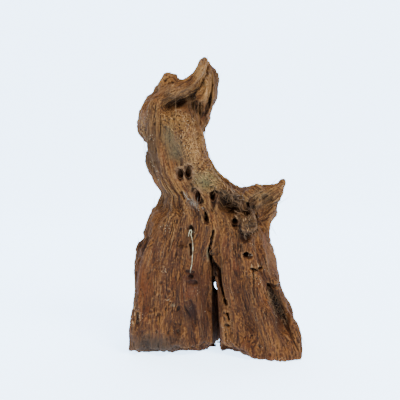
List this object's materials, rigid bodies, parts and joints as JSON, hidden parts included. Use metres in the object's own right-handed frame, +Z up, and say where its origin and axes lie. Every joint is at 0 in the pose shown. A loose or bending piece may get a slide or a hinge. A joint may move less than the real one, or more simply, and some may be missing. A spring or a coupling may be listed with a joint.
{
  "type": "driftwood",
  "caption": "Weathered brown driftwood stump that stands on split roots, with a side spur, a leaning neck and a hooked, hollowed crown.",
  "frame": {"origin": "centre of the bounding box at ground level, under the roots", "axes": "+Z up along the wood's height, -Y towards the viewer of the split roots, +X towards the side spur"},
  "size_m": [0.1601, 0.112, 0.2689],
  "materials": {
    "left_root_wood": "weathered, dry and fibrous",
    "right_root_wood": "weathered, dry and fibrous",
    "trunk_wood": "weathered, dry and fibrous",
    "side_spur_wood": "weathered, dry and fibrous",
    "neck_wood": "weathered, dry, worn smoother",
    "crown_wood": "weathered, dry and fibrous",
    "pale_rootlet": "dry pale fibre"
  },
  "bodies": {
    "root": {"left_root": "left_root_wood", "right_root": "right_root_wood", "trunk": "trunk_wood", "side_spur": "side_spur_wood", "neck": "neck_wood", "crown": "crown_wood", "rootlet": "pale_rootlet"}
  },
  "joints": []
}
